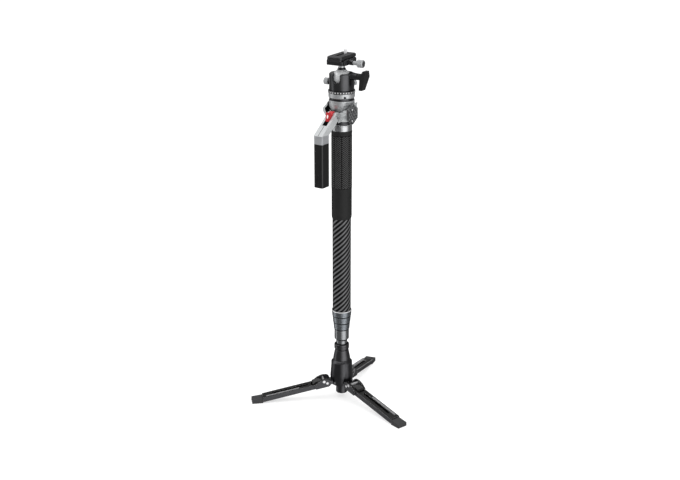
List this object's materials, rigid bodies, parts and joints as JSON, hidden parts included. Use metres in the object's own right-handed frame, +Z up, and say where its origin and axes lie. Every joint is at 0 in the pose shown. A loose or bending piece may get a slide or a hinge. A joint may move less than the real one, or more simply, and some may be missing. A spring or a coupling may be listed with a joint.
{
  "type": "camera monopod with folding feet",
  "caption": "Video monopod on folding feet, with a telescopic carbon column, a folding handle with a trigger, a half bowl and a ball head with a quick-release clamp.",
  "frame": {"origin": "centre of the bounding box of the three feet, on the floor", "axes": "+Z up along the column, -Y toward the camera of the picture, +X to its right"},
  "size_m": [0.3074, 0.3228, 0.7029],
  "materials": {
    "hub_black": "satin black anodised",
    "steel": "bright turned steel",
    "bearing_plastic": "plain moulded",
    "ball_chrome": "polished",
    "satin_aluminium": "satin silver anodised",
    "carbon": "twill carbon fibre in satin resin",
    "black_aluminium": "satin black anodised",
    "gunmetal": "gunmetal anodised with fine rings",
    "grip_rubber": "moulded with a chevron pattern",
    "polished_aluminium": "polished",
    "pearl_aluminium": "bead-blasted light silver",
    "grey_knob": "knurled grey anodised",
    "red_anodised": "red anodised",
    "lever_black": "moulded black",
    "knurled_silver": "knurled silver anodised",
    "leg_black": "black anodised with bright edges",
    "foot_rubber": "dark grey rubber",
    "tab_black": "moulded black"
  },
  "bodies": {
    "base": {"hub_shell": "hub_black", "hub_bottom_cap": "hub_black", "hub_screws": "steel", "leg_hinge_pins": "steel", "ball_cup": "bearing_plastic"},
    "tilt_ball": {"base_ball": "ball_chrome"},
    "tilt_spindle": {"base_spindle": "steel"},
    "column_foot": {"bottom_fitting": "satin_aluminium", "tube_4": "carbon", "guide_bush_4": "bearing_plastic"},
    "sleeve": {"lock_sleeve": "black_aluminium", "sleeve_ring": "black_aluminium"},
    "section_3": {"tube_3": "carbon", "tube_3_bushes": "bearing_plastic"},
    "ring_3": {"lock_ring_3": "gunmetal"},
    "section_2": {"tube_2": "carbon", "tube_2_bushes": "bearing_plastic"},
    "ring_2": {"lock_ring_2": "gunmetal"},
    "section_1": {"tube_1": "carbon", "lock_collet_1": "bearing_plastic", "column_grip": "grip_rubber", "top_collar": "polished_aluminium", "head_plug": "black_aluminium", "bowl_fork": "pearl_aluminium", "handle_pin": "steel", "strap_eye": "steel"},
    "ring_1": {"lock_ring_1": "gunmetal"},
    "bowl_knob": {"fork_knob": "grey_knob"},
    "handle": {"handle_frame": "pearl_aluminium", "handle_block": "satin_aluminium", "handle_grip": "grip_rubber"},
    "finger_trigger": {"trigger": "red_anodised"},
    "liner": {"bowl_liner": "bearing_plastic"},
    "bowl": {"half_bowl": "satin_aluminium", "pan_plate": "satin_aluminium", "index_ring": "black_aluminium"},
    "head": {"head_body": "black_aluminium", "head_cup": "bearing_plastic"},
    "main_lock": {"main_lock_lever": "lever_black"},
    "pan_lock": {"pan_lock_knob": "knurled_silver"},
    "friction": {"friction_knob": "knurled_silver"},
    "ball": {"head_ball": "ball_chrome"},
    "stem": {"ball_stem": "ball_chrome"},
    "clamp": {"clamp_base": "black_aluminium"},
    "jaw": {"clamp_jaw": "black_aluminium"},
    "jaw_knob": {"clamp_knob": "knurled_silver"},
    "plate": {"camera_plate": "black_aluminium"},
    "screw": {"camera_screw": "steel"},
    "leg_1": {"leg_channel_1": "leg_black", "foot_cap_1": "foot_rubber", "leg_rods_1": "steel"},
    "tab_1": {"leg_tab_1": "tab_black"},
    "leg_2": {"leg_channel_2": "leg_black", "foot_cap_2": "foot_rubber", "leg_rods_2": "steel"},
    "tab_2": {"leg_tab_2": "tab_black"},
    "leg_3": {"leg_channel_3": "leg_black", "foot_cap_3": "foot_rubber", "leg_rods_3": "steel"},
    "tab_3": {"leg_tab_3": "tab_black"}
  },
  "joints": [
    {"name": "base_tilt_1", "type": "hinge", "parent": "base", "child": "tilt_ball", "pos_m": [0.02841, -0.014, 0.062], "axis": [0.4195, -0.9078, 0], "range_deg": [-15, 15]},
    {"name": "base_tilt_2", "type": "hinge", "parent": "tilt_ball", "child": "tilt_spindle", "pos_m": [0.02841, -0.014, 0.062], "axis": [0.9078, 0.4195, 0], "range_deg": [-15, 15]},
    {"name": "column_turn", "type": "hinge", "parent": "tilt_spindle", "child": "column_foot", "pos_m": [0.02841, -0.014, 0.12], "axis": [0, 0, 1], "continuous": true},
    {"name": "sleeve_lift", "type": "slide", "parent": "column_foot", "child": "sleeve", "axis": [0, 0, 1], "range_m": [0, 0.006]},
    {"name": "extend_3", "type": "slide", "parent": "column_foot", "child": "section_3", "axis": [0, 0, 1], "range_m": [0, 0.33]},
    {"name": "extend_2", "type": "slide", "parent": "section_3", "child": "section_2", "axis": [0, 0, 1], "range_m": [0, 0.33]},
    {"name": "extend_1", "type": "slide", "parent": "section_2", "child": "section_1", "axis": [0, 0, 1], "range_m": [0, 0.33]},
    {"name": "ring_3_twist", "type": "hinge", "parent": "section_3", "child": "ring_3", "pos_m": [0.02841, -0.014, 0.15], "axis": [0, 0, 1], "range_deg": [0, 90]},
    {"name": "ring_2_twist", "type": "hinge", "parent": "section_2", "child": "ring_2", "pos_m": [0.02841, -0.014, 0.15], "axis": [0, 0, 1], "range_deg": [0, 90]},
    {"name": "ring_1_twist", "type": "hinge", "parent": "section_1", "child": "ring_1", "pos_m": [0.02841, -0.014, 0.15], "axis": [0, 0, 1], "range_deg": [0, 90]},
    {"name": "bowl_knob_turn", "type": "hinge", "parent": "section_1", "child": "bowl_knob", "pos_m": [0.04559, -0.04178, 0.5897], "axis": [0.8192, -0.5736, 0], "range_deg": [0, 360]},
    {"name": "handle_fold", "type": "hinge", "parent": "section_1", "child": "handle", "pos_m": [0.01292, -0.03612, 0.584], "axis": [-0.8192, 0.5736, 0], "range_deg": [0, 45]},
    {"name": "trigger_pull", "type": "hinge", "parent": "handle", "child": "finger_trigger", "pos_m": [0.00604, -0.04595, 0.5785], "axis": [0.8192, -0.5736, 0], "range_deg": [0, 9], "stiffness_Nm_per_rad": 0.2, "springref_deg": -5.73},
    {"name": "bowl_level_1", "type": "hinge", "parent": "section_1", "child": "liner", "pos_m": [0.02841, -0.014, 0.6067], "axis": [0.8192, -0.5736, 0], "range_deg": [-12, 12]},
    {"name": "bowl_level_2", "type": "hinge", "parent": "liner", "child": "bowl", "pos_m": [0.02841, -0.014, 0.6067], "axis": [-0.5736, -0.8192, 0], "range_deg": [-12, 12]},
    {"name": "head_pan", "type": "hinge", "parent": "bowl", "child": "head", "pos_m": [0.02841, -0.014, 0.63], "axis": [0, 0, 1], "continuous": true},
    {"name": "main_lock_turn", "type": "hinge", "parent": "head", "child": "main_lock", "pos_m": [0.05439, -0.029, 0.657], "axis": [0.866, -0.5, 0], "range_deg": [0, 90]},
    {"name": "pan_lock_turn", "type": "hinge", "parent": "head", "child": "pan_lock", "pos_m": [0.05006, -0.0015, 0.6395], "axis": [0.866, 0.5, 0], "range_deg": [0, 360]},
    {"name": "friction_turn", "type": "hinge", "parent": "head", "child": "friction", "pos_m": [0.00243, 0.001, 0.6425], "axis": [-0.866, 0.5, 0], "range_deg": [0, 360]},
    {"name": "ball_side", "type": "hinge", "parent": "head", "child": "ball", "pos_m": [0.02841, -0.014, 0.6524], "axis": [-0.5, -0.866, 0], "range_deg": [-3, 28]},
    {"name": "ball_drop", "type": "hinge", "parent": "ball", "child": "stem", "pos_m": [0.02841, -0.014, 0.6524], "axis": [0.866, -0.5, 0], "range_deg": [-28, 90]},
    {"name": "clamp_twist", "type": "hinge", "parent": "stem", "child": "clamp", "pos_m": [0.02841, -0.014, 0.6782], "axis": [0, 0, 1], "continuous": true},
    {"name": "jaw_slide", "type": "slide", "parent": "clamp", "child": "jaw", "axis": [0.866, -0.5, 0], "range_m": [0, 0.0025]},
    {"name": "jaw_knob_turn", "type": "hinge", "parent": "jaw", "child": "jaw_knob", "pos_m": [0.05439, -0.029, 0.6817], "axis": [0.866, -0.5, 0], "range_deg": [0, 750]},
    {"name": "plate_slide", "type": "slide", "parent": "clamp", "child": "plate", "axis": [-0.5, -0.866, 0], "range_m": [-0.012, 0.012]},
    {"name": "camera_screw_turn", "type": "hinge", "parent": "plate", "child": "screw", "pos_m": [0.03541, -0.00188, 0.6855], "axis": [0, 0, 1], "continuous": true},
    {"name": "leg_1_fold", "type": "hinge", "parent": "base", "child": "leg_1", "pos_m": [-0.00253, -0.01935, 0.03507], "axis": [-0.1702, 0.9854, 0], "range_deg": [0, 95]},
    {"name": "tab_1_press", "type": "hinge", "parent": "leg_1", "child": "tab_1", "pos_m": [-0.02354, -0.02298, 0.02941], "axis": [0.1702, -0.9854, 0], "range_deg": [0, 12], "stiffness_Nm_per_rad": 0.05, "springref_deg": -5.73},
    {"name": "leg_2_fold", "type": "hinge", "parent": "base", "child": "leg_2", "pos_m": [0.04851, -0.03813, 0.03507], "axis": [-0.7683, -0.6401, 0], "range_deg": [0, 95]},
    {"name": "tab_2_press", "type": "hinge", "parent": "leg_2", "child": "tab_2", "pos_m": [0.06216, -0.05451, 0.02941], "axis": [0.7683, 0.6401, 0], "range_deg": [0, 12], "stiffness_Nm_per_rad": 0.05, "springref_deg": -5.73},
    {"name": "leg_3_fold", "type": "hinge", "parent": "base", "child": "leg_3", "pos_m": [0.03925, 0.01546, 0.03507], "axis": [0.9385, -0.3453, 0], "range_deg": [0, 95]},
    {"name": "tab_3_press", "type": "hinge", "parent": "leg_3", "child": "tab_3", "pos_m": [0.04661, 0.03547, 0.02941], "axis": [-0.9385, 0.3453, 0], "range_deg": [0, 12], "stiffness_Nm_per_rad": 0.05, "springref_deg": -5.73}
  ],
  "couplings": [
    {"joint": "jaw_knob_turn", "follows": "jaw_slide", "rad_per_m": 5026.5}
  ]
}
